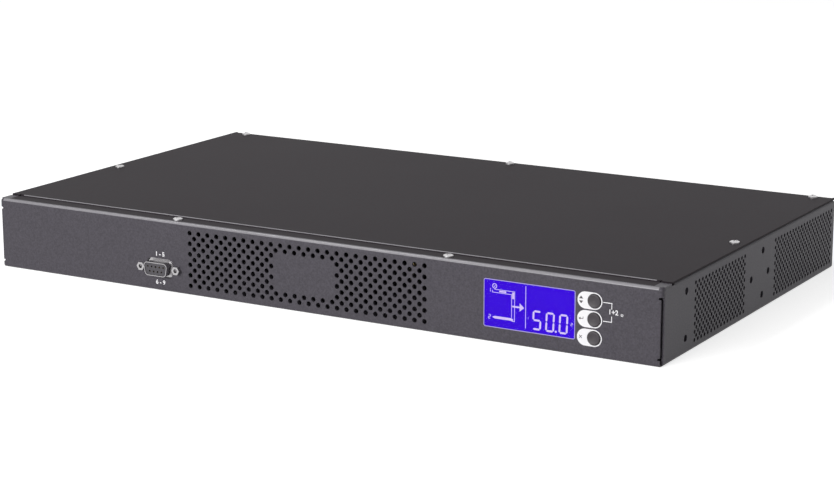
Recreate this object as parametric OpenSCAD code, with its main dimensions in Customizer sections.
// Rack transfer switch, one rack unit high.
// Two mains inlets, a relay changeover and a row of outlets, in a case of folded and perforated sheet.
// The origin is at the centre of the underside. +X is to the right seen from the front,
// +Y points to the back and +Z up. Sizes are in millimetres.

/* [Case] */
// Width across the side walls
body_w = 438; // [434:1:450]
// Depth from the front panel's face to the cover's rear lip
body_d = 250; // [240:1:320]
// Height to the top of the cover
body_h = 43.2; // [43:0.1:60]
// Thickness of the chassis and rear panel sheet
sheet_t = 1.2; // [1:0.1:1.4]
// Thickness of the cover sheet
cover_t = 1.0; // [0.8:0.1:1.2]
// Inside radius of the folds
fold_r = 0.6; // [0.4:0.1:0.9]
// Depth of the strip that the front panel folds back over the cover's tongue
strip_w = 10.7; // [10:0.1:13]
// Height of the cover's top above that strip
strip_drop = 0.7; // [0.5:0.1:1.2]
// Width of the side walls' top flanges
side_flange_w = 16; // [15:0.5:20]
// Height of the front panel's ears, which reach the full width
ear_h = 5.3; // [4.5:0.1:7]
// How far the front panel's edges stand in from the side walls' faces, below the ears
ear_step = 1.2; // [0.8:0.1:1.8]
// Height of the relief notches at the front corners
notch_h = 1.2; // [0.8:0.1:2]
// How far the side walls' front edges stand back from the front panel's face
side_set = 2.5; // [2.2:0.1:3.5]
// Height of the cover's rear lip
lip_h = 5; // [3:0.5:7]
// Length of the front corners' reliefs in the cover
tongue_inset = 7; // [6:0.5:10]

/* [Vents] */
// Hole pitch of the front vent, both ways
front_pitch = 6.25; // [5.5:0.05:7]
// Hole diameter of the front vent
front_hole_d = 2.9; // [2:0.1:3.4]
// Columns of the front vent
front_columns = 26; // [18:1:28]
// Columns left out on each side of the front vent's middle, for the plain field
plain_half_columns = 3; // [1:1:5]
// Height of the front vent's middle row
front_vent_z = 21.3; // [20:0.1:24]
// Hole pitch of the side vents, both ways
side_pitch = 4.5; // [4:0.05:5]
// Hole diameter of the side vents
side_hole_d = 2.3; // [1.6:0.1:2.6]
// Height of the side vents' middle row
side_vent_z = 20.7; // [19:0.1:24]
// Distance of the front side vent's first column from the front
vent_a_y = 41.9; // [40:0.1:44]
// Columns of the front side vent
vent_a_columns = 16; // [8:1:16]
// Distance of the rear side vent's first column from the front
vent_b_y = 154.9; // [154:0.1:160]
// Plain border above and below the vents, to the nearest hole's centre
vent_border = 4.6; // [4:0.1:7]

/* [Rack ear holes] */
// Diameter of the rack ear holes, for M4
ear_hole_d = 4; // [3:0.1:4.5]
// Distance of the front pair from the front
ear_front_y = 30; // [28:0.5:33]
// Distance of the upright middle pair from the front
ear_mid_y = 136; // [134:0.5:138]
// Height between the holes of an upright pair
ear_pair_z = 25.6; // [20:0.1:28]
// Height of the level pair
ear_level_z = 20.8; // [18:0.1:24]
// Middle of the level pair from the front
ear_level_y = 132; // [131:0.5:133]
// Distance between the holes of the level pair
ear_pair_y = 25; // [20:0.5:26]
// Diameter of the clinch nuts
clinch_nut_d = 7; // [6:0.5:8]

/* [Screws] */
// Shank diameter of the cover and panel screws
screw_d = 3; // [2.5:0.1:3.5]
// Head diameter of the cover screws
screw_head_d = 5.6; // [5:0.1:6.4]
// Head height of the cover screws
screw_head_h = 1.6; // [1.2:0.1:2.2]
// Distance of the front and rear screws from the case's edges
screw_edge = 5.2; // [5:0.1:6]
// Distance of the front screws from the middle
front_screw_x = 90; // [60:1:100]
// Distance of the rear corner screws from the side
corner_screw_x = 12; // [11:0.5:13]
// Distance of the side screws from the side
side_screw_x = 6.5; // [6:0.1:8]
// Distance of the side screws from the front
side_screw_y = 109.5; // [100:0.5:115]

/* [Display] */
// Width of the display window
window_w = 54.8; // [50:0.1:56]
// Height of the display window
window_h = 26.8; // [24:0.1:27]
// Corner radius of the display window
window_r = 1.2; // [0.5:0.1:3]
// Distance of the window's middle from the case's middle
window_x = 142; // [138:0.1:143]
// Thickness of the window pane
window_t = 1.1; // [0.8:0.1:1.2]
// Border of the window pane behind the panel
window_lip = 1.4; // [1:0.1:1.6]
// Thickness of the display cell
cell_t = 2.8; // [2:0.1:3]
// Thickness of the backlight
backlight_t = 3.2; // [2.5:0.1:3.5]
// Distance of the display board behind the panel's face
display_board_y = 10.6; // [10.2:0.1:12]
// Thickness of the circuit boards
board_t = 1.6; // [1:0.1:2]

/* [Keys] */
// Diameter of the key caps
key_d = 7.4; // [6:0.1:8]
// Gap round a key cap in the panel
key_gap = 0.3; // [0.2:0.05:0.4]
// How far the keys stand proud of the panel
key_proud = 0.8; // [0.6:0.1:1.5]
// Travel of the keys
key_travel = 0.5; // [0.2:0.1:0.6]
// Distance of the keys from the case's middle
key_x = 180.3; // [180:0.1:183]
// Height of the middle key
key_z = 20.6; // [19:0.1:23]
// Distance between the keys
key_pitch = 10; // [10:0.1:11]
// Diameter of the switch plungers
plunger_d = 3.5; // [2.5:0.1:4]
// Width of the switch bodies
switch_w = 6; // [5.5:0.1:7]
// Height of the switch bodies above their board
switch_h = 3.8; // [3.4:0.1:4]

/* [Port] */
// Distance of the port from the case's middle
port_x = 99.7; // [96:0.1:103]
// Height of the port's middle
port_z = 13.8; // [12:0.1:18]
// Width of the port's shell
port_w = 16.4; // [16:0.1:17]
// Height of the port's shell
port_h = 8; // [7.6:0.1:8.4]
// How far the shell stands out of its flange
port_shell_l = 6.2; // [5:0.1:8]
// Distance between the jackscrews
jackscrew_pitch = 25; // [24.5:0.1:25.5]
// Width of the jackscrews across their flats
jackscrew_w = 4.6; // [4:0.1:5]
// How far the jackscrews stand out of the panel
jackscrew_l = 2.6; // [2:0.1:5]
// Distance between the contacts of a row
contact_pitch = 2.77; // [2.6:0.01:2.9]
// Distance between the contact rows
contact_row = 2.84; // [2.6:0.01:3]

/* [Sockets] */
// Height of the sockets' middle
socket_z = 20; // [19.5:0.1:22]
// Distance between the ten-amp outlets
outlet_pitch = 34.5; // [34.2:0.1:34.8]
// Number of ten-amp outlets
outlet_count = 8; // [8]
// Distance of the first ten-amp outlet from the middle
outlet_first_x = 75; // [73:0.5:76]
// Distance of the large outlet from the middle
large_outlet_x = 113; // [112:0.5:114]
// Distance of the inner inlet from the middle
inlet_first_x = 154; // [153:0.5:155]
// Distance between the inlets
inlet_pitch = 40; // [39:0.5:41]
// Depth of an outlet's body behind the panel
outlet_l = 20; // [18:0.5:24]
// Depth of an inlet's recess
recess_l = 18; // [16:0.5:20]
// Thickness of the sockets' flanges
socket_flange_t = 2; // [1.5:0.1:2.5]

/* [Boards] */
// Height of the main board above the floor
standoff_h = 4; // [3:0.5:5]
// Width of the main board
main_board_w = 410; // [405:1:415]
// Depth of the main board
main_board_d = 112; // [108:1:116]
// Width of the flat cables
ribbon_w = 20; // [14:1:24]
// Thickness of the flat cables
ribbon_t = 0.9; // [0.8:0.1:1.2]

/* [Hidden] */

$fn = 32;
eps = 0.01;

// Fits, shared by every pair of pieces
seat_gap = 0.1;
slip_gap = 0.3;
shaft_gap = 0.06;
thread_gap = 0.05;
clear_hole = 0.4;

// Levels and faces of the case
front_y = -body_d / 2;
back_y = body_d / 2;
side_x = body_w / 2;
fold_o = fold_r + sheet_t;
strip_z = body_h - strip_drop;
flange_z = body_h - cover_t;
floor_z = sheet_t;
tongue_z = strip_z - sheet_t - seat_gap;
ear_z = strip_z - ear_h;
side_flange_y = front_y + strip_w + 4;
panel_back_y = front_y + sheet_t;
rear_face_y = back_y - cover_t - seat_gap;
front_edge_x = side_x - ear_step;
ear_return = side_set - slip_gap;

// Folds of the cover. The joggle's radius follows from the step between lid and tongue.
joggle_step = body_h - tongue_z;
joggle_r = (joggle_step - cover_t) / 2;
cover_front_y = front_y + strip_w + slip_gap;
tongue_x = side_x - tongue_inset;
tongue_front_y = panel_back_y + 1.4;
lid_front_y = cover_front_y + joggle_r + cover_t;
lip_fold_r = 0.5;
lip_fold_o = lip_fold_r + cover_t;
lid_back_y = back_y - lip_fold_o;
lip_x = side_x - sheet_t - slip_gap;
cover_relief = 1.2;
lid_corner_r = 1.2;
side_top_z = strip_z - sheet_t - seat_gap;

// Vent rows fill the flat height of the walls
front_rows = 2 * floor((min(front_vent_z, strip_z - front_vent_z) - vent_border) / front_pitch - 0.5) + 2;
side_rows = 2 * floor((min(side_vent_z, flange_z - side_vent_z) - vent_border + 0.6) / side_pitch - 0.5) + 2;
vent_b_columns = floor((body_d - vent_b_y - vent_border) / side_pitch) + 1;

// Rack ear holes as [distance from the front, height]
pair_mid_z = body_h / 2;
ear_holes = [
    [ear_front_y, pair_mid_z + ear_pair_z / 2],
    [ear_front_y, pair_mid_z - ear_pair_z / 2],
    [ear_mid_y, pair_mid_z + ear_pair_z / 2],
    [ear_mid_y, pair_mid_z - ear_pair_z / 2],
    [ear_level_y - ear_pair_y / 2, ear_level_z],
    [ear_level_y + ear_pair_y / 2, ear_level_z]
];
clinch_nut_t = 1.5;

// Screws
screw_l = 6;
collar_d = screw_d + 1.8;
collar_h = 1.2;
front_screws = [[-front_screw_x, front_y + screw_edge], [front_screw_x, front_y + screw_edge]];
side_screws = [
    [-side_x + side_screw_x, front_y + side_screw_y],
    [side_x - side_screw_x, front_y + side_screw_y]
];
corner_screws = [
    [-side_x + corner_screw_x, back_y - screw_edge],
    [side_x - corner_screw_x, back_y - screw_edge]
];
rear_screw = [0, back_y - screw_edge];
panel_screw_x = [-190, -60, 60, 190];
panel_screw_y = rear_face_y - 7;
panel_flange_w = 12;
panel_x = side_x - sheet_t - seat_gap;
panel_corner_r = fold_r - seat_gap;
panel_top_z = flange_z - sheet_t - seat_gap;
floor_flange_x = side_x - fold_o - seat_gap;
rear_flange_x = side_x - side_flange_w - slip_gap;

// Display, from the panel backwards
window_z = body_h / 2;
pane_w = window_w + 2 * window_lip;
pane_h = window_h + 2 * window_lip;
cell_size = [pane_w - 2 * seat_gap, pane_h - 2 * seat_gap];
pane_flange_t = 1;
cell_y = panel_back_y + pane_flange_t + seat_gap;
backlight_y = cell_y + cell_t + seat_gap;
board_front_y = front_y + display_board_y;
holder_t = 1.4;
holder_w = pane_w + 2 * holder_t;
holder_h = pane_h + 2 * holder_t;
display_board_x0 = window_x - pane_w / 2 - 8;
display_board_x1 = key_x + key_d / 2 + 9;
display_board_h = 36;
display_board_z0 = window_z - display_board_h / 2;
stud_d = 5;
stud_in = 3.4;
nut_d = 6.2;
nut_h = 2.4;
display_stud_x = [display_board_x0 + stud_in, display_board_x1 - stud_in];
display_stud_z = [display_board_z0 + stud_in, display_board_z0 + display_board_h - stud_in];

// Keys, from the panel backwards
key_flange_d = key_d + 2;
key_flange_t = 1;
key_flange_y = panel_back_y + seat_gap;
switch_y = board_front_y - switch_h;
plunger_y = switch_y - key_travel - slip_gap;
plunger_l = key_travel + slip_gap + 1.6;
stem_d = plunger_d;
key_edge_r = 0.6;
key_dish = 0.35;
key_dish_r = 14;

// Port, from the panel backwards
port_flange_w = 30.8;
port_flange_h = 12.5;
port_flange_t = 0.8;
port_corner = 2.4;
port_slant = 10;
shell_t = 0.4;
port_flange_y = panel_back_y;
port_front_y = port_flange_y - port_shell_l;
port_body_l = 6;
shell_root = 0.7;
port_board_w = 30;
port_board_h = 22;
port_board_y = port_flange_y + port_flange_t + port_body_l;
port_cut = 1.5;
contact_hole_d = 1.15;
contact_d = 1;

// Ten-amp outlet
block_size = [24, 16.4];
block_cut = 5;
groove_w = 2.8;
groove_l = 14;
groove_cut_share = 0.6;
socket_wall = 1;
socket_rim = 1;
socket_corner_r = 1.5;
slot_size = [2.6, 4.8];
outlet_slots = [[-7, -2], [7, -2], [0, 2]];
outlet_body = block_size + 2 * (groove_w + socket_wall) * [1, 1];

// Sixteen-amp outlet and inlet
large_size = [28, 19.2];
large_cut = 6;
blade_size = [8, 2];
large_slots = [[-6.5, -3.5], [6.5, -3.5], [0, 3.5]];
large_slot_size = blade_size + 2 * slip_gap * [1, 1];
large_body = large_size + 2 * (groove_w + socket_wall) * [1, 1];
inlet_wall = 1.8;
inlet_floor = 3;
recess_play = 0.4;
blade_recess = 1.5;
inlet_body = large_size + 2 * (recess_play + inlet_wall) * [1, 1];
inlet_l = recess_l + inlet_floor - socket_flange_t;

// Contact strips behind the sockets, in front of which the main board's edge lies
socket_back_y = rear_face_y - max(outlet_l, inlet_l);
contact_end_y = rear_face_y - outlet_l / 2;
tail_w = 4;
tail_t = 1;
tail_step = 2;
tail_y = socket_back_y - slip_gap - tail_t - 1;

// Protective earth terminal
earth_d = 4;
earth_l = 9;
earth_x = -200;

// Main board
main_board_z = floor_z + standoff_h;
board_top_z = main_board_z + board_t;
main_board_y1 = socket_back_y - slip_gap;
main_board_y0 = main_board_y1 - main_board_d;
standoff_d = 6;
standoff_shank_d = 4.8;
standoff_x = [-main_board_w / 2 + 6, 0, main_board_w / 2 - 6];
standoff_y = [main_board_y0 + 6, main_board_y1 - 6];

// What stands on the main board
relay_size = [30, 27, 22];
relay_x = [inlet_first_x, inlet_first_x + inlet_pitch];
relay_y = [main_board_y0 + 24, main_board_y0 + 56];
transformer_size = [36, 30, 27];
transformer_x = [40, 88];
transformer_y = main_board_y0 + 24;
capacitor_d = 12.5;
capacitor_h = 22;
capacitor_x = -10;
capacitor_y = main_board_y0 + 24;
capacitor_pitch = 16;
ring_d = 24;
ring_hole_d = 11;
ring_t = 10;
ring_x = 88;
ring_y = main_board_y0 + 64;
bar_w = 8;
bar_t = 1.5;
bar_l = 44;
fuse_x = -100;
fuse_l = 20;
fuse_d = 5.2;
fuse_pitch = 14;
fuse_y = main_board_y0 + 24;
clip_w = 4;
clip_foot = 1.5;

// Flat cables
header_h = 5;
header_d = 6;
ribbon_r = 2.4;
ribbon_level = board_top_z + header_h / 2;
ribbon_floor = floor_z + seat_gap;
display_ribbon_x = window_x;
port_ribbon_x = -port_x;

// ---- Helpers ----

// Extrudes an outline drawn as (depth, height) along X, centred on the case
module along_x(length) {
    translate([-length / 2, 0, 0])
        rotate([90, 0, 90])
            linear_extrude(length) children();
}

// Extrudes an outline drawn as (width, height) from one depth backwards
module along_y(from, length) {
    translate([0, from + length, 0])
        rotate([90, 0, 0])
            linear_extrude(length) children();
}

// Repeats a piece on the right and, mirrored, on the left
module both_sides() {
    children();
    mirror([1, 0, 0]) children();
}

// Section of a quarter fold round the origin, in the first quadrant
module quarter_fold(inner, thickness) {
    intersection() {
        difference() {
            circle(inner + thickness);
            circle(inner);
        }
        square(inner + thickness);
    }
}

// Rectangle with round corners, centred
module round_rect(w, h, r) {
    translate([-w / 2 + r, -h / 2]) square([w - 2 * r, h]);
    translate([-w / 2, -h / 2 + r]) square([w, h - 2 * r]);
    for (x = [-1, 1], y = [-1, 1])
        translate([x * (w / 2 - r), y * (h / 2 - r)]) circle(r);
}

// Convex outline grown by r with round corners
module round_outline(points, r) {
    polygon(points);
    count = len(points);
    for (i = [0 : count - 1]) {
        a = points[i];
        b = points[(i + 1) % count];
        n = r * [b[1] - a[1], a[0] - b[0]] / norm(b - a);
        polygon([a, b, b + n, a + n]);
        translate(a) circle(r);
    }
}

// D-shaped outline of the port, with its long side on top
module port_outline(w, h, r) {
    slant = (h - 2 * r) * tan(port_slant);
    top = w / 2 - r;
    round_outline([
        [-top + slant, -h / 2 + r], [top - slant, -h / 2 + r], [top, h / 2 - r], [-top, h / 2 - r]
    ], r);
}

// Outline of the port's shell, grown all round
module port_grown(more) {
    port_outline(port_w + 2 * more, port_h + 2 * more, port_corner + more);
}

// Rectangle with its two upper corners cut off, centred
module socket_outline(size, cut) {
    w = size[0];
    h = size[1];
    polygon([
        [-w / 2, -h / 2], [w / 2, -h / 2], [w / 2, h / 2 - cut],
        [w / 2 - cut, h / 2], [-w / 2 + cut, h / 2], [-w / 2, h / 2 - cut]
    ]);
}

// Staggered holes in the plane: full rows and, between them, rows one hole shorter
module vent_holes(columns, rows, pitch, d, skip) {
    for (row = [0 : rows - 1], column = [0 : columns - 1])
        if (abs(column - (columns - 1) / 2) > skip || row == 0 || row == rows - 1)
            translate([column * pitch, row * pitch]) circle(d / 2, $fn = 24);
    for (row = [0 : rows - 2], column = [0 : columns - 2])
        if (abs(column - (columns - 2) / 2) > skip + 0.5 || row == 0 || row == rows - 2)
            translate([(column + 0.5) * pitch, (row + 0.5) * pitch]) circle(d / 2, $fn = 24);
}

// ---- Chassis ----

// Front panel in section: bottom fold, wall, top fold and the strip folded back
module front_section() {
    translate([fold_o, fold_o]) rotate(180) quarter_fold(fold_r, sheet_t);
    translate([0, fold_o]) square([sheet_t, strip_z - 2 * fold_o]);
    translate([fold_o, strip_z - fold_o]) rotate(90) quarter_fold(fold_r, sheet_t);
    translate([fold_o, strip_z - sheet_t]) square([strip_w - fold_o, sheet_t]);
}

// Right ear's corner: the wall folded back round the corner, and the strip's end
module ear_corner() {
    corner_x = side_x - fold_o;
    corner_y = front_y + fold_o;
    corner_z = strip_z - fold_o;
    translate([corner_x, corner_y, ear_z])
        linear_extrude(corner_z - ear_z) rotate(-90) quarter_fold(fold_r, sheet_t);
    translate([side_x - sheet_t, corner_y, ear_z])
        cube([sheet_t, ear_return - fold_o, corner_z - ear_z]);
    translate([corner_x, corner_y, corner_z])
        intersection() {
            difference() {
                sphere(fold_o);
                sphere(fold_r);
            }
            translate([0, -fold_o, 0]) cube(fold_o);
        }
    translate([corner_x, corner_y, corner_z])
        translate([0, ear_return - fold_o, 0])
            rotate([90, 0, 0])
                linear_extrude(ear_return - fold_o) quarter_fold(fold_r, sheet_t);
    translate([corner_x, front_y + ear_return, strip_z - sheet_t])
        cube([fold_o, strip_w - ear_return, sheet_t]);
    translate([corner_x, corner_y, strip_z - sheet_t])
        cube([fold_r / 2, ear_return - fold_o + eps, sheet_t]);
}

// Right side wall in section, from its bottom fold to its top flange
module side_section() {
    corner_x = side_x - fold_o;
    translate([corner_x, fold_o]) rotate(-90) quarter_fold(fold_r, sheet_t);
    translate([side_x - sheet_t, fold_o]) square([sheet_t, flange_z - 2 * fold_o]);
    translate([corner_x, flange_z - fold_o]) quarter_fold(fold_r, sheet_t);
    translate([side_x - side_flange_w, flange_z - sheet_t])
        square([side_flange_w - fold_o, sheet_t]);
}

// Right side wall in section in front of its flange and behind it, under the strip and the lid's lip
module side_front_section() {
    translate([side_x - fold_o, fold_o]) rotate(-90) quarter_fold(fold_r, sheet_t);
    translate([side_x - sheet_t, fold_o])
        square([sheet_t, side_top_z - fold_o]);
}

// Drawn collar under a sheet, for a screw's thread
module collar(x, y, z) {
    translate([x, y, z - collar_h]) cylinder(d = collar_d, h = collar_h + eps);
}

module chassis_sheet() {
    floor_y0 = front_y + fold_o;
    translate([-side_x + fold_o, floor_y0, 0])
        cube([body_w - 2 * fold_o, body_d - fold_o, sheet_t]);
    translate([0, front_y, 0]) {
        along_x(2 * front_edge_x)
            intersection() {
                front_section();
                square([strip_w, ear_z]);
            }
        along_x(body_w - 2 * fold_o)
            intersection() {
                front_section();
                translate([0, ear_z]) square([strip_w, ear_h]);
            }
    }
    both_sides() {
        ear_corner();
        along_y(front_y + side_set, body_d - side_set) intersection() {
            side_front_section();
            translate([side_x - fold_o, 0]) square([fold_o, side_vent_z]);
        }
        along_y(front_y + side_set, side_flange_y - front_y - side_set) side_front_section();
        along_y(side_flange_y, lid_back_y - side_flange_y) side_section();
        along_y(lid_back_y, back_y - lid_back_y) side_front_section();
    }
    for (p = concat(side_screws, corner_screws))
        collar(p[0], p[1], flange_z - sheet_t);
}

module front_vent() {
    translate([-(front_columns - 1) * front_pitch / 2, front_vent_z - (front_rows - 1) * front_pitch / 2])
        vent_holes(front_columns, front_rows, front_pitch, front_hole_d, plain_half_columns);
}

// Both vents of the right side wall, as (depth, height)
module side_vents() {
    vent_z = side_vent_z - (side_rows - 1) * side_pitch / 2;
    translate([front_y + vent_a_y, vent_z])
        vent_holes(vent_a_columns, side_rows, side_pitch, side_hole_d, -1);
    translate([front_y + vent_b_y, vent_z])
        vent_holes(vent_b_columns, side_rows, side_pitch, side_hole_d, -1);
}

module front_cuts() {
    front_vent();
    translate([window_x, window_z]) round_rect(window_w, window_h, window_r);
    for (i = [-1 : 1])
        translate([key_x, key_z + i * key_pitch]) circle(key_d / 2 + key_gap);
    translate([-port_x, port_z]) port_grown(port_cut);
    for (s = [-1, 1])
        translate([-port_x + s * jackscrew_pitch / 2, port_z]) circle(d = screw_d + clear_hole);
}

module chassis() {
    color([0.27, 0.26, 0.28])
        difference() {
            chassis_sheet();
            along_y(front_y - 1, sheet_t + 2) front_cuts();
            for (z = [ear_z - notch_h, 2 * fold_o])
                both_sides()
                    translate([front_edge_x - notch_h, front_y - 1, z])
                        cube([notch_h + ear_step + 1, sheet_t + 1 + eps, notch_h]);
            along_x(body_w + 2) side_cuts();
            for (p = front_screws)
                translate([p[0], p[1], strip_z - sheet_t - 1])
                    cylinder(d = screw_d + clear_hole, h = sheet_t + 2);
            for (p = concat(side_screws, corner_screws))
                translate([p[0], p[1], flange_z - 5]) thread_hole();
            for (x = panel_screw_x)
                translate([x, panel_screw_y, 0]) countersink();
            for (x = standoff_x, y = standoff_y)
                translate([x, y, -1]) cylinder(d = standoff_shank_d + 2 * shaft_gap, h = sheet_t + 2);
        }
}

// Vents and rack ear holes of both side walls, as (depth, height)
module side_cuts() {
    side_vents();
    for (p = ear_holes)
        translate([front_y + p[0], p[1]]) circle(d = ear_hole_d);
}

// Countersunk seat that opens on the underside
module countersink() {
    d = screw_d + clear_hole;
    translate([0, 0, -eps]) cylinder(d1 = d + 2 * sheet_t, d2 = d, h = sheet_t);
    translate([0, 0, -1]) cylinder(d = d, h = sheet_t + 2);
}

// Clinch nuts pressed in behind the rack ear holes
module ear_nuts() {
    color([0.7, 0.7, 0.72])
        both_sides()
            for (p = ear_holes)
                translate([side_x - sheet_t - clinch_nut_t, front_y + p[0], p[1]])
                    rotate([0, 90, 0])
                        difference() {
                            cylinder(d = clinch_nut_d, h = clinch_nut_t);
                            translate([0, 0, -1]) cylinder(d = ear_hole_d, h = clinch_nut_t + 2);
                        }
}

// ---- Rear panel ----

// Floor flange of the rear panel in section, with its fold
module rear_floor_section() {
    translate([-panel_flange_w - sheet_t, 0]) square([panel_flange_w + sheet_t - fold_o, sheet_t]);
    translate([-fold_o, fold_o]) rotate(-90) quarter_fold(fold_r, sheet_t);
}

// Top flange of the rear panel in section, with its fold and the wall down to the wide part
module rear_top_section() {
    top = flange_z - floor_z;
    wall_z = panel_top_z - floor_z - fold_o;
    translate([-panel_flange_w - sheet_t, top - sheet_t])
        square([panel_flange_w + sheet_t - fold_o, sheet_t]);
    translate([-fold_o, top - fold_o]) quarter_fold(fold_r, sheet_t);
    translate([-sheet_t, wall_z]) square([sheet_t, top - fold_o - wall_z]);
}

// Outline of the rear panel's wall between the side walls, as (width, height)
module rear_wall() {
    wall_z = floor_z + fold_o;
    translate([-panel_x, wall_z]) square([2 * panel_x, panel_top_z - panel_corner_r - wall_z]);
    translate([-panel_x + panel_corner_r, wall_z])
        square([2 * (panel_x - panel_corner_r), panel_top_z - wall_z]);
    for (s = [-1, 1])
        translate([s * (panel_x - panel_corner_r), panel_top_z - panel_corner_r]) circle(panel_corner_r);
}

// Rectangle of a given size with a seat's clearance round it, centred
module seat_hole(size) {
    square(size + 2 * [seat_gap, seat_gap], center = true);
}

// Cut-outs of the sockets and the hole of the earth stud, as (width, height)
module rear_cuts() {
    for (i = [0 : outlet_count - 1])
        translate([outlet_x(i), socket_z]) seat_hole(outlet_body);
    translate([large_outlet_x, socket_z]) seat_hole(large_body);
    for (i = [0, 1])
        translate([inlet_x(i), socket_z]) seat_hole(inlet_body);
    translate([earth_x, socket_z]) circle(d = earth_d + clear_hole);
}

module rear_panel() {
    color([0.27, 0.26, 0.28])
        difference() {
            union() {
                translate([0, rear_face_y, floor_z]) {
                    along_x(2 * floor_flange_x) rear_floor_section();
                    along_x(2 * rear_flange_x) rear_top_section();
                }
                along_y(rear_face_y - sheet_t, sheet_t) rear_wall();
                collar(rear_screw[0], rear_screw[1], flange_z - sheet_t);
                for (x = panel_screw_x)
                    translate([x, panel_screw_y, floor_z]) cylinder(d = collar_d, h = sheet_t + collar_h);
            }
            along_y(rear_face_y - sheet_t - 1, sheet_t + 2) rear_cuts();
            translate([rear_screw[0], rear_screw[1], flange_z - 5]) thread_hole();
            for (x = panel_screw_x)
                translate([x, panel_screw_y, floor_z - 1]) thread_hole();
        }
}

// Hole that a screw's thread fills, long enough for any collar
module thread_hole() {
    cylinder(d = screw_d + 2 * thread_gap, h = 6);
}

// Countersunk screw seen from below, with its tip up
module rear_panel_screws() {
    color([0.75, 0.75, 0.77])
        for (x = panel_screw_x)
            translate([x, panel_screw_y, 0])
                difference() {
                    union() {
                        cylinder(d1 = screw_d + 2 * sheet_t, d2 = screw_d, h = sheet_t);
                        cylinder(d = screw_d, h = screw_l);
                    }
                    translate([0, 0, -eps]) cross_recess(screw_d * 0.9, sheet_t * 0.7);
                }
}

// ---- Cover ----

// Front edge of the cover in section: the tongue and the joggle up to the lid
module tongue_section() {
    bend_y = cover_front_y - joggle_r;
    translate([tongue_front_y, tongue_z - cover_t]) square([bend_y - tongue_front_y, cover_t]);
    translate([bend_y, tongue_z + joggle_r]) rotate(-90) quarter_fold(joggle_r, cover_t);
    translate([lid_front_y, body_h - joggle_r - cover_t]) rotate(90) quarter_fold(joggle_r, cover_t);
}

// Rear edge of the cover in section: the fold and the lip
module lip_section() {
    translate([lid_back_y, body_h - lip_fold_o]) quarter_fold(lip_fold_r, cover_t);
    translate([back_y - cover_t, body_h - lip_h]) square([cover_t, lip_h - lip_fold_o]);
}

// Outline of the lid's right front corner, as (width, depth)
module lid_corner() {
    corner = [side_x - lid_corner_r, cover_front_y + lid_corner_r];
    inner_x = tongue_x + cover_relief;
    translate([inner_x, cover_front_y]) square([corner[0] - inner_x, lid_front_y - cover_front_y]);
    translate([inner_x, corner[1]]) square([side_x - inner_x, lid_front_y - corner[1]]);
    translate(corner) circle(lid_corner_r);
}

module cover() {
    color([0.25, 0.24, 0.26])
        difference() {
            union() {
                along_x(2 * tongue_x) tongue_section();
                translate([-side_x, lid_front_y, flange_z]) cube([body_w, lid_back_y - lid_front_y, cover_t]);
                along_x(2 * lip_x) lip_section();
                both_sides() {
                    translate([0, 0, flange_z]) linear_extrude(cover_t) lid_corner();
                    translate([lip_x + slip_gap, lid_back_y, flange_z])
                        cube([side_x - lip_x - slip_gap, lip_fold_o, cover_t]);
                }
                for (p = front_screws)
                    collar(p[0], p[1], tongue_z - cover_t);
            }
            for (p = front_screws)
                translate([p[0], p[1], tongue_z - 5]) thread_hole();
            for (p = concat(side_screws, corner_screws, [rear_screw]))
                translate([p[0], p[1], flange_z - 1]) cylinder(d = screw_d + clear_hole, h = cover_t + 2);
        }
}

// ---- Screws ----

// Cross recess, drawn upwards from its floor
module cross_recess(w, h) {
    for (a = [0, 90])
        rotate(a) translate([-w / 2, -w / 8, 0]) cube([w, w / 4, h]);
}

// Pan-head screw whose head rests at height 0, with its shank down
module pan_screw(length) {
    edge_h = screw_head_h * 0.45;
    difference() {
        union() {
            cylinder(d = screw_head_d, h = edge_h);
            translate([0, 0, edge_h]) dome(screw_head_d / 2, screw_head_h - edge_h);
            translate([0, 0, -length]) cylinder(d = screw_d, h = length + eps);
        }
        translate([0, 0, screw_head_h * 0.4]) cross_recess(screw_head_d * 0.5, screw_head_h);
    }
}

// Spherical cap of a given foot radius and height
module dome(r, h) {
    ball = (r * r + h * h) / (2 * h);
    intersection() {
        translate([0, 0, h - ball]) sphere(ball, $fn = 64);
        translate([0, 0, -eps]) cylinder(r = r, h = h + 2 * eps);
    }
}

module cover_screws() {
    color([0.85, 0.85, 0.86]) {
        for (p = front_screws)
            translate([p[0], p[1], strip_z]) pan_screw(screw_l);
        for (p = concat(side_screws, corner_screws, [rear_screw]))
            translate([p[0], p[1], body_h]) pan_screw(screw_l);
    }
}

// ---- Display ----

module display_window() {
    color([0.75, 0.8, 0.9])
        translate([window_x, 0, window_z]) {
            along_y(panel_back_y - window_t, window_t + eps)
                round_rect(window_w - 2 * seat_gap, window_h - 2 * seat_gap, window_r - seat_gap);
            along_y(panel_back_y, pane_flange_t) square([pane_w, pane_h], center = true);
        }
}

module display_cell() {
    color([0.15, 0.1, 0.85])
        translate([window_x, 0, window_z])
            along_y(cell_y, cell_t) square(cell_size, center = true);
}

// Light guide with a row of lamps' pockets along its left edge
module display_backlight() {
    color([0.9, 0.92, 1])
        translate([window_x, 0, window_z])
            difference() {
                along_y(backlight_y, backlight_t) square(cell_size, center = true);
                for (i = [-1 : 1])
                    translate([-pane_w / 2, backlight_y + backlight_t / 2, i * pane_h / 4])
                        rotate([90, 0, 0]) cylinder(d = 3, h = backlight_t + 1, center = true);
            }
}

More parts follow.
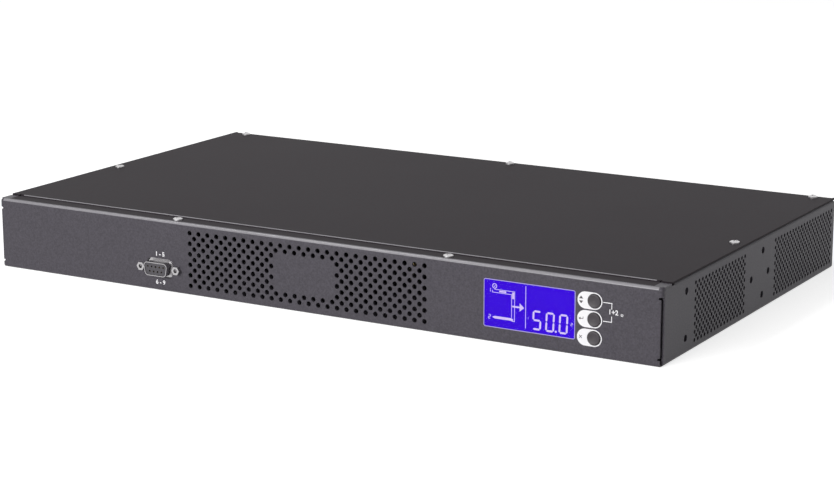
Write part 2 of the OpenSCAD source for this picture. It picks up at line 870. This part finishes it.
// Frame round the cell and its backlight, with a shelf behind them and four legs on the board
module display_holder() {
    shelf_y = backlight_y + backlight_t + seat_gap;
    color([0.93, 0.93, 0.9])
        translate([window_x, 0, window_z])
            difference() {
                along_y(panel_back_y + seat_gap, board_front_y - panel_back_y - seat_gap)
                    square([holder_w, holder_h], center = true);
                along_y(panel_back_y, shelf_y - panel_back_y) square([pane_w, pane_h], center = true);
                along_y(shelf_y - 1, display_board_y) square([pane_w - 6, pane_h - 6], center = true);
                along_y(shelf_y + 1, display_board_y) {
                    square([holder_w + 2, holder_h - 10], center = true);
                    square([holder_w - 12, holder_h + 2], center = true);
                }
            }
}

module display_board() {
    color([0.1, 0.35, 0.2])
        difference() {
            translate([display_board_x0, board_front_y, display_board_z0])
                cube([display_board_x1 - display_board_x0, board_t, display_board_h]);
            for (x = display_stud_x, z = display_stud_z)
                translate([x, board_front_y - 1, z])
                    rotate([-90, 0, 0]) cylinder(d = screw_d + clear_hole, h = board_t + 2);
        }
}

// Shouldered studs clinched behind the front panel
module display_studs() {
    color([0.75, 0.75, 0.77])
        for (x = display_stud_x, z = display_stud_z)
            translate([x, panel_back_y, z])
                rotate([-90, 0, 0]) {
                    cylinder(d = stud_d, h = board_front_y - panel_back_y, $fn = 6);
                    cylinder(d = screw_d, h = board_front_y - panel_back_y + board_t + nut_h + 1);
                }
}

module display_nuts() {
    color([0.8, 0.8, 0.82])
        for (x = display_stud_x, z = display_stud_z)
            translate([x, board_front_y + board_t, z])
                rotate([-90, 0, 0])
                    difference() {
                        cylinder(d = nut_d, h = nut_h, $fn = 6);
                        translate([0, 0, -1]) cylinder(d = screw_d + 2 * thread_gap, h = nut_h + 2);
                    }
}

// ---- Keys ----

// Half section of a key cap from its face at height 0 to its rim behind the panel
module key_section() {
    rim_z = key_flange_y - front_y + key_proud;
    square([key_d / 2 - key_edge_r, rim_z]);
    translate([0, key_edge_r]) square([key_d / 2, rim_z - key_edge_r + eps]);
    translate([key_d / 2 - key_edge_r, key_edge_r])
        intersection() {
            circle(key_edge_r);
            translate([0, -key_edge_r]) square(key_edge_r);
        }
    translate([0, rim_z]) square([key_flange_d / 2, key_flange_t]);
}

// Key with a dished cap, and its stem back to the plunger
module key(z) {
    color([0.26, 0.25, 0.27])
        translate([key_x, front_y - key_proud, z])
            rotate([-90, 0, 0])
                difference() {
                    union() {
                        rotate_extrude() key_section();
                        cylinder(d = stem_d, h = plunger_y - front_y + key_proud);
                    }
                    translate([0, 0, key_dish - key_dish_r]) sphere(key_dish_r, $fn = 96);
                }
}

module key_scroll() { key(key_z + key_pitch); }

module key_enter() { key(key_z); }

module key_escape() { key(key_z - key_pitch); }

module plunger(z) {
    color([0.1, 0.1, 0.1])
        translate([key_x, plunger_y, z]) rotate([-90, 0, 0]) cylinder(d = plunger_d, h = plunger_l);
}

module plunger_scroll() { plunger(key_z + key_pitch); }

module plunger_enter() { plunger(key_z); }

module plunger_escape() { plunger(key_z - key_pitch); }

module key_switches() {
    bore_l = plunger_l + key_travel + seat_gap;
    color([0.12, 0.12, 0.13])
        for (i = [-1 : 1])
            difference() {
                translate([key_x - switch_w / 2, switch_y, key_z + i * key_pitch - switch_w / 2])
                    cube([switch_w, switch_h, switch_w]);
                translate([key_x, plunger_y, key_z + i * key_pitch])
                    rotate([-90, 0, 0]) cylinder(d = plunger_d + 2 * shaft_gap, h = bore_l);
            }
}

// ---- Port ----

// Drawn shell and its flange, held behind the front panel
module port_shell() {
    color([0.8, 0.8, 0.82])
        translate([-port_x, 0, port_z])
            difference() {
                union() {
                    along_y(port_flange_y, port_flange_t) round_rect(port_flange_w, port_flange_h, 1.5);
                    along_y(port_front_y, port_shell_l + eps) port_grown(0);
                    along_y(port_flange_y - shell_root, shell_root + eps) port_grown(shell_root);
                }
                along_y(port_front_y - 1, port_shell_l + port_flange_t + 2) port_grown(-shell_t);
                for (s = [-1, 1])
                    translate([s * jackscrew_pitch / 2, port_flange_y - 1, 0])
                        rotate([-90, 0, 0]) cylinder(d = screw_d + clear_hole, h = port_flange_t + 2);
            }
}

// Positions of the nine contacts round the port's middle, five above and four below
function contact_points() = concat(
    [for (i = [-2 : 2]) [i * contact_pitch, contact_row / 2]],
    [for (i = [-1.5 : 1.5]) [i * contact_pitch, -contact_row / 2]]
);

module port_insulator() {
    face_y = port_front_y + 0.4;
    color([0.35, 0.35, 0.36])
        translate([-port_x, 0, port_z])
            difference() {
                union() {
                    along_y(face_y, port_flange_y + port_flange_t - face_y + eps)
                        port_grown(-shell_t - seat_gap / 2);
                    along_y(port_flange_y + port_flange_t, port_body_l)
                        round_rect(port_w + 2, port_h + 1.6, 1);
                }
                for (p = contact_points())
                    translate([p[0], face_y - 1, p[1]])
                        rotate([-90, 0, 0]) cylinder(d = contact_hole_d, h = port_shell_l + port_body_l + 3);
            }
}

// Socket contacts, split open in front and soldered to the board behind
module port_contacts() {
    contact_y = port_front_y + 1.4;
    color([0.85, 0.65, 0.25])
        translate([-port_x, 0, port_z])
            for (p = contact_points())
                translate([p[0], contact_y, p[1]])
                    rotate([-90, 0, 0])
                        difference() {
                            cylinder(d = contact_d, h = port_board_y + board_t + 1 - contact_y);
                            translate([0, 0, -eps]) cylinder(d = contact_d * 0.6, h = 4);
                        }
}

// Hexagon jackscrews through the panel and the port's flange
module port_jackscrews() {
    shank_l = sheet_t + port_flange_t + 4;
    color([0.82, 0.82, 0.84])
        for (s = [-1, 1])
            translate([-port_x + s * jackscrew_pitch / 2, front_y - jackscrew_l, port_z])
                rotate([-90, 0, 0])
                    difference() {
                        union() {
                            cylinder(d = jackscrew_w / cos(30), h = jackscrew_l, $fn = 6);
                            cylinder(d = screw_d, h = jackscrew_l + shank_l);
                        }
                        translate([0, 0, -eps]) cylinder(d = 2.4, h = jackscrew_l + 1);
                    }
}

module port_board() {
    color([0.1, 0.35, 0.2])
        difference() {
            translate([-port_x - port_board_w / 2, port_board_y, port_z - port_board_h / 2])
                cube([port_board_w, board_t, port_board_h]);
            translate([-port_x, 0, port_z])
                for (p = contact_points())
                    translate([p[0], port_board_y - 1, p[1]])
                        rotate([-90, 0, 0]) cylinder(d = contact_hole_d, h = board_t + 2);
        }
}

// ---- Sockets ----

// Distance of a ten-amp outlet from the case's middle
function outlet_x(i) = outlet_first_x - i * outlet_pitch;

// Distance of an inlet from the case's middle
function inlet_x(i) = inlet_first_x + i * inlet_pitch;

// Contact strips that go down to the main board, those of the upper slots in front of the others
module tails(slots) {
    for (p = slots)
        along_y(tail_y - (p[1] > 0 ? tail_step : 0), tail_t)
            translate([p[0] - tail_w / 2, board_top_z - socket_z])
                square([tail_w, p[1] + socket_z - board_top_z]);
}

// Straight contact bars in a socket's slots, from the strips to a given depth
module contact_bars(slots, size, end_y) {
    for (p = slots) {
        from_y = tail_y - (p[1] > 0 ? tail_step : 0);
        along_y(from_y, end_y - from_y) translate(p) square(size, center = true);
    }
}

// Flange of a socket, on the rear panel's face
module socket_flange(body) {
    along_y(rear_face_y, socket_flange_t)
        round_rect(body[0] + 2 * socket_rim, body[1] + 2 * socket_rim, socket_corner_r);
}

// Outlet seen from behind the case: flange, body, and a slotted block inside a groove
module outlet(x, block, cut, body, slots, slot) {
    groove = 2 * [groove_w, groove_w];
    color([0.1, 0.1, 0.11])
        translate([x, 0, socket_z])
            difference() {
                union() {
                    socket_flange(body);
                    along_y(rear_face_y - outlet_l, outlet_l + eps) square(body, center = true);
                }
                along_y(rear_face_y + socket_flange_t - groove_l, groove_l + 1)
                    difference() {
                        socket_outline(block + groove, cut + groove_w * groove_cut_share);
                        socket_outline(block, cut);
                    }
                along_y(rear_face_y - outlet_l - 1, outlet_l + socket_flange_t + 2)
                    for (p = slots)
                        translate(p) square(slot, center = true);
            }
}

module outlet_n(i) {
    outlet(outlet_x(i), block_size, block_cut, outlet_body, outlet_slots, slot_size);
}

module outlet_contacts() {
    color([0.8, 0.6, 0.25])
        for (i = [0 : outlet_count - 1])
            translate([outlet_x(i), 0, socket_z]) {
                contact_bars(outlet_slots, slot_size - 2 * [slip_gap, slip_gap], contact_end_y);
                tails(outlet_slots);
            }
}

module outlet_large() {
    outlet(large_outlet_x, large_size, large_cut, large_body, large_slots, large_slot_size);
}

module outlet_large_contacts() {
    color([0.8, 0.6, 0.25])
        translate([large_outlet_x, 0, socket_z]) {
            contact_bars(large_slots, large_slot_size - 2 * [slip_gap, slip_gap], contact_end_y);
            tails(large_slots);
        }
}

// Inlet: flange, body and a recess for the plug, with slits in its floor for the blades
module inlet(i) {
    color([0.1, 0.1, 0.11])
        translate([inlet_x(i), 0, socket_z])
            difference() {
                union() {
                    socket_flange(inlet_body);
                    along_y(rear_face_y - inlet_l, inlet_l + eps) square(inlet_body, center = true);
                }
                along_y(rear_face_y + socket_flange_t - recess_l, recess_l + 1)
                    socket_outline(large_size + 2 * [recess_play, recess_play], large_cut);
                along_y(rear_face_y - inlet_l - 1, inlet_floor + 2)
                    for (p = large_slots)
                        translate(p) square(blade_size + 2 * [thread_gap, thread_gap], center = true);
            }
}

// Blades of an inlet, with strips down to the main board
module inlet_pins(i) {
    color([0.8, 0.8, 0.8])
        translate([inlet_x(i), 0, socket_z]) {
            contact_bars(large_slots, blade_size, rear_face_y + socket_flange_t - blade_recess);
            tails(large_slots);
        }
}

// Protective earth stud, with its hexagon head inside
module earth_stud() {
    color([0.85, 0.75, 0.4])
        translate([earth_x, rear_face_y - sheet_t, socket_z])
            rotate([-90, 0, 0]) {
                translate([0, 0, -earth_d * 0.7]) cylinder(d = earth_d * 1.9, h = earth_d * 0.7, $fn = 6);
                cylinder(d = earth_d, h = sheet_t + earth_l);
            }
}

// Washer and nut on the earth stud
module earth_nuts() {
    color([0.85, 0.75, 0.4])
        translate([earth_x, rear_face_y, socket_z])
            rotate([-90, 0, 0])
                difference() {
                    union() {
                        cylinder(d = earth_d * 2.25, h = 0.8);
                        translate([0, 0, 0.8]) cylinder(d = earth_d * 1.9, h = earth_d * 0.8, $fn = 6);
                    }
                    translate([0, 0, -1]) cylinder(d = earth_d + 2 * thread_gap, h = earth_l + 2);
                }
}

// ---- Main board and what stands on it ----

module main_board() {
    color([0.1, 0.35, 0.2])
        difference() {
            translate([-main_board_w / 2, main_board_y0, main_board_z])
                cube([main_board_w, main_board_d, board_t]);
            for (x = standoff_x, y = standoff_y)
                translate([x, y, main_board_z - 1]) cylinder(d = screw_d + clear_hole, h = board_t + 2);
        }
}

// Hexagon standoffs pressed into the floor
module board_standoffs() {
    color([0.8, 0.7, 0.4])
        for (x = standoff_x, y = standoff_y)
            translate([x, y, floor_z])
                difference() {
                    union() {
                        cylinder(d = standoff_d, h = standoff_h, $fn = 6);
                        translate([0, 0, -floor_z]) cylinder(d = standoff_shank_d, h = floor_z + eps);
                    }
                    translate([0, 0, -floor_z - 1])
                        cylinder(d = screw_d + 2 * thread_gap, h = standoff_h + floor_z + 2);
                }
}

// Screws from above through the main board
module board_screws() {
    color([0.75, 0.75, 0.77])
        for (x = standoff_x, y = standoff_y)
            translate([x, y, board_top_z]) pan_screw(board_t + standoff_h - slip_gap);
}

// Sealed relay with its two flat coil pins
module relay(x, y) {
    pin_h = 0.6;
    color([0.12, 0.3, 0.6])
        translate([x, y, board_top_z]) {
            translate([-relay_size[0] / 2, -relay_size[1] / 2, pin_h]) cube(relay_size - [0, 0, pin_h]);
            for (s = [-1, 1], t = [-1, 1])
                translate([s * (relay_size[0] / 2 - 3), t * (relay_size[1] / 2 - 3), 0])
                    cylinder(d = 3, h = pin_h + eps);
        }
}

module relay_1() { relay(relay_x[0], relay_y[0]); }

module relay_2() { relay(relay_x[0], relay_y[1]); }

module relay_3() { relay(relay_x[1], relay_y[0]); }

module relay_4() { relay(relay_x[1], relay_y[1]); }

// Transformer: a laminated frame round a wound bobbin
module supply_transformer(x) {
    w = transformer_size[0];
    d = transformer_size[1];
    h = transformer_size[2];
    core_d = d * 0.45;
    color([0.45, 0.45, 0.47])
        translate([x, transformer_y, board_top_z]) {
            translate([-w / 2, -core_d / 2, 3]) cube([w, core_d, h - 3]);
            translate([-w * 0.32, -d / 2, 5]) cube([w * 0.64, d, h - 9]);
            translate([-w * 0.4, -d / 2, 0]) cube([w * 0.8, d, 3 + eps]);
        }
}

module supply_transformer_1() { supply_transformer(transformer_x[0]); }

module supply_transformer_2() { supply_transformer(transformer_x[1]); }

module capacitors() {
    color([0.15, 0.15, 0.3])
        for (i = [0 : 2], j = [0, 1])
            translate([capacitor_x - i * capacitor_pitch, capacitor_y + j * capacitor_pitch, board_top_z])
                difference() {
                    cylinder(d = capacitor_d, h = capacitor_h);
                    translate([0, 0, 2])
                        rotate_extrude() translate([capacitor_d / 2, 0]) circle(0.5);
                }
}

// Copper bar that carries the output current across the board, raised on two feet
module output_bar() {
    level = board_top_z + ring_d / 2;
    color([0.8, 0.45, 0.25])
        translate([ring_x, ring_y - bar_w / 2, 0]) {
            translate([-bar_l / 2, 0, level - bar_t / 2]) cube([bar_l, bar_w, bar_t]);
            for (s = [-1, 1])
                translate([s * (bar_l - bar_t) / 2 - bar_t / 2, 0, board_top_z])
                    cube([bar_t, bar_w, level - board_top_z]);
        }
}

module current_ring() {
    color([0.2, 0.2, 0.22])
        translate([ring_x, ring_y, board_top_z + ring_d / 2])
            rotate([0, 90, 0])
                difference() {
                    union() {
                        cylinder(d = ring_d, h = ring_t, center = true);
                        translate([0, -ring_d / 4, -ring_t / 2]) cube([ring_d / 2, ring_d / 2, ring_t]);
                    }
                    cylinder(d = ring_hole_d, h = ring_t + 2, center = true);
                }
}

// Glass fuses, each held in two clips
module fuses() {
    color([0.8, 0.8, 0.8])
        for (i = [0, 1])
            translate([fuse_x, fuse_y + i * fuse_pitch, board_top_z]) {
                translate([-fuse_l / 2, 0, clip_foot + fuse_d / 2])
                    rotate([0, 90, 0]) cylinder(d = fuse_d, h = fuse_l);
                for (s = [-1, 1])
                    translate([s * (fuse_l - clip_w) / 2 - clip_w / 2, -fuse_d * 0.65, 0])
                        cube([clip_w, fuse_d * 1.3, clip_foot + fuse_d * 0.75]);
            }
}

// ---- Flat cables ----

// Flat cable in section, between a header on an upright board and one on the main board
module ribbon_section(from_y, to_y) {
    t = ribbon_t;
    inner = ribbon_r;
    outer = ribbon_r + t;
    first_y = from_y + header_d + 2;
    last_y = to_y - 2;
    // out of the first header and down
    translate([from_y + header_d, ribbon_level - t / 2]) square([2 + eps, t]);
    translate([first_y, ribbon_level - t / 2 - inner]) quarter_fold(inner, t);
    translate([first_y + inner, ribbon_floor + outer - eps])
        square([t, ribbon_level - t / 2 - inner - ribbon_floor - outer + 2 * eps]);
    translate([first_y + inner + outer, ribbon_floor + outer]) rotate(180) quarter_fold(inner, t);
    // along the floor
    translate([first_y + inner + outer - eps, ribbon_floor])
        square([last_y - first_y - 2 * (inner + outer) + 2 * eps, t]);
    // up and into the second header
    translate([last_y - inner - outer, ribbon_floor + outer]) rotate(-90) quarter_fold(inner, t);
    translate([last_y - outer, ribbon_floor + outer - eps])
        square([t, ribbon_level - t / 2 - inner - ribbon_floor - outer + 2 * eps]);
    translate([last_y, ribbon_level - t / 2 - inner]) rotate(90) quarter_fold(inner, t);
    translate([last_y - eps, ribbon_level - t / 2]) square([2 + 2 * eps, t]);
}

// Flat cable with its two headers
module ribbon(x, from_y) {
    translate([x, 0, 0]) {
        color([0.75, 0.75, 0.78]) along_x(ribbon_w) ribbon_section(from_y, main_board_y0);
        color([0.1, 0.1, 0.1]) {
            translate([-ribbon_w / 2 - 1.5, from_y, ribbon_level - header_h / 2])
                cube([ribbon_w + 3, header_d, header_h]);
            translate([-ribbon_w / 2 - 1.5, main_board_y0, board_top_z])
                cube([ribbon_w + 3, header_d, header_h]);
        }
    }
}

module display_ribbon() { ribbon(display_ribbon_x, board_front_y + board_t); }

module port_ribbon() { ribbon(port_ribbon_x, port_board_y + board_t); }

chassis();
rear_panel();
cover();
cover_screws();
rear_panel_screws();
ear_nuts();
display_window();
display_cell();
display_backlight();
display_holder();
display_board();
display_studs();
display_nuts();
key_scroll();
key_enter();
key_escape();
plunger_scroll();
plunger_enter();
plunger_escape();
key_switches();
port_shell();
port_insulator();
port_contacts();
port_jackscrews();
port_board();
inlet(0);  // inlet_1
inlet(1);  // inlet_2
inlet_pins(0);  // inlet_pins_1
inlet_pins(1);  // inlet_pins_2
outlet_n(0);  // outlet_1
outlet_n(1);  // outlet_2
outlet_n(2);  // outlet_3
outlet_n(3);  // outlet_4
outlet_n(4);  // outlet_5
outlet_n(5);  // outlet_6
outlet_n(6);  // outlet_7
outlet_n(7);  // outlet_8
outlet_contacts();
outlet_large();
outlet_large_contacts();
earth_stud();
earth_nuts();
main_board();
board_standoffs();
board_screws();
relay_1();
relay_2();
relay_3();
relay_4();
supply_transformer_1();
supply_transformer_2();
capacitors();
current_ring();
output_bar();
fuses();
display_ribbon();
port_ribbon();
